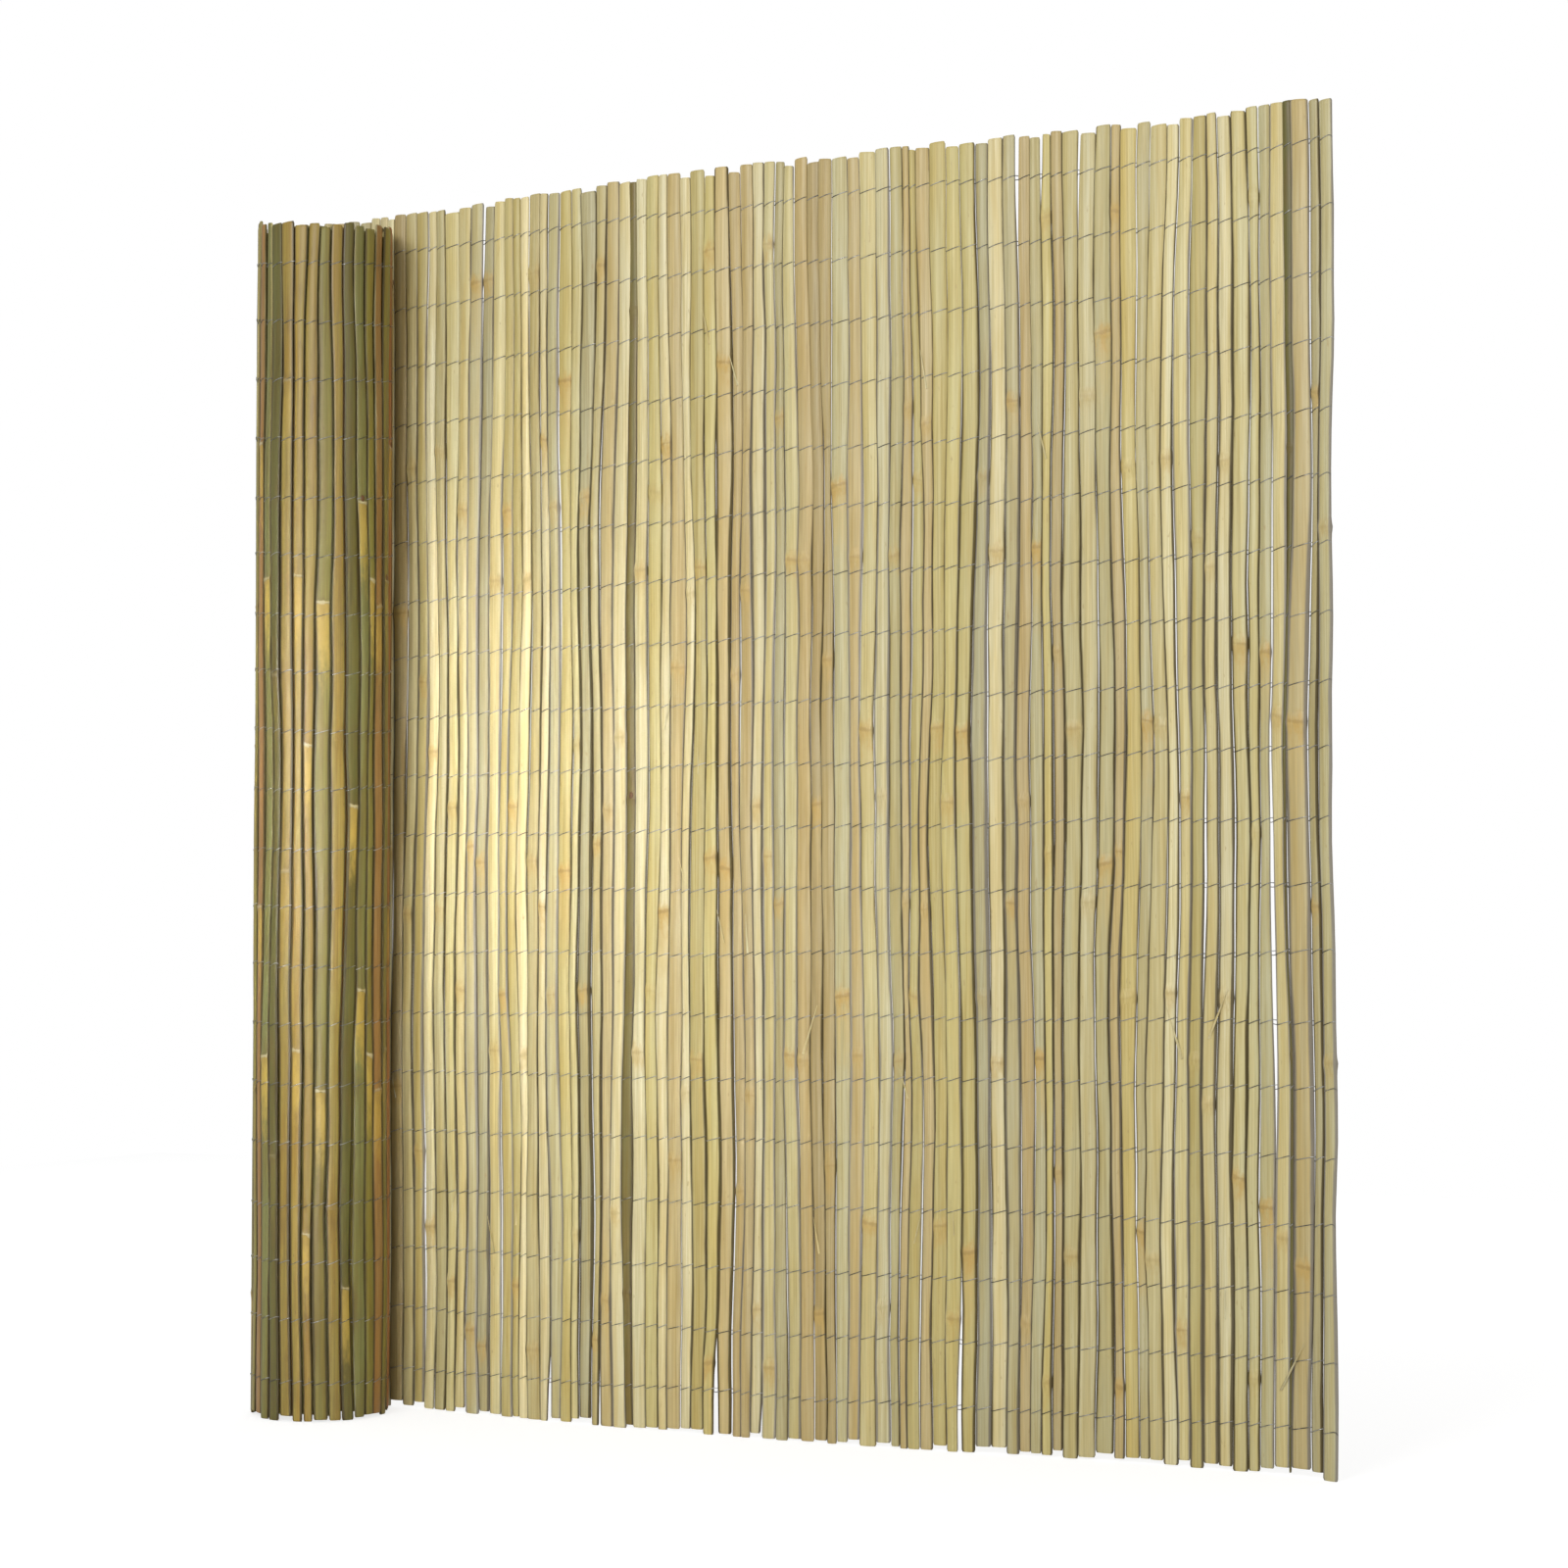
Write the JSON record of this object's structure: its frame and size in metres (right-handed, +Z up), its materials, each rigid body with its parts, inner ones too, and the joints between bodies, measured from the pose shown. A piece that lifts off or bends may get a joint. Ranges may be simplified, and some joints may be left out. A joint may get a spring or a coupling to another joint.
{
  "type": "bamboo fence panel",
  "caption": "Split-bamboo fence mat bound with rows of wire, partly unrolled from a standing roll into an upright screen panel.",
  "frame": {"origin": "middle of the bounding box in plan, on the ground plane the slats stand on", "axes": "+X along the unrolled panel from the roll to the free edge, +Y from the split faces to the skin side of the panel, +Z up along the slats"},
  "size_m": [0.9042, 0.1226, 1],
  "materials": {
    "split_bamboo": "pale split face, satin fibres",
    "bamboo_skin": "olive to tan waxy skin with pale node rings",
    "galvanised_wire": "dull galvanised wire"
  },
  "bodies": {
    "root": {"panel_slats": "split_bamboo", "free_edge_slat": "split_bamboo", "reversed_slat_near_roll": "bamboo_skin", "reversed_slat_near_edge": "bamboo_skin", "outer_turn_slats": "bamboo_skin", "inner_turns": "split_bamboo", "binding_wire_01": "galvanised_wire", "binding_wire_02": "galvanised_wire", "binding_wire_03": "galvanised_wire", "binding_wire_04": "galvanised_wire", "binding_wire_05": "galvanised_wire", "binding_wire_06": "galvanised_wire", "binding_wire_07": "galvanised_wire", "binding_wire_08": "galvanised_wire", "binding_wire_09": "galvanised_wire", "binding_wire_10": "galvanised_wire", "binding_wire_11": "galvanised_wire", "binding_wire_12": "galvanised_wire", "binding_wire_13": "galvanised_wire", "binding_wire_14": "galvanised_wire", "binding_wire_15": "galvanised_wire", "binding_wire_16": "galvanised_wire", "binding_wire_17": "galvanised_wire", "binding_wire_18": "galvanised_wire", "binding_wire_19": "galvanised_wire", "binding_wire_20": "galvanised_wire"}
  },
  "joints": []
}
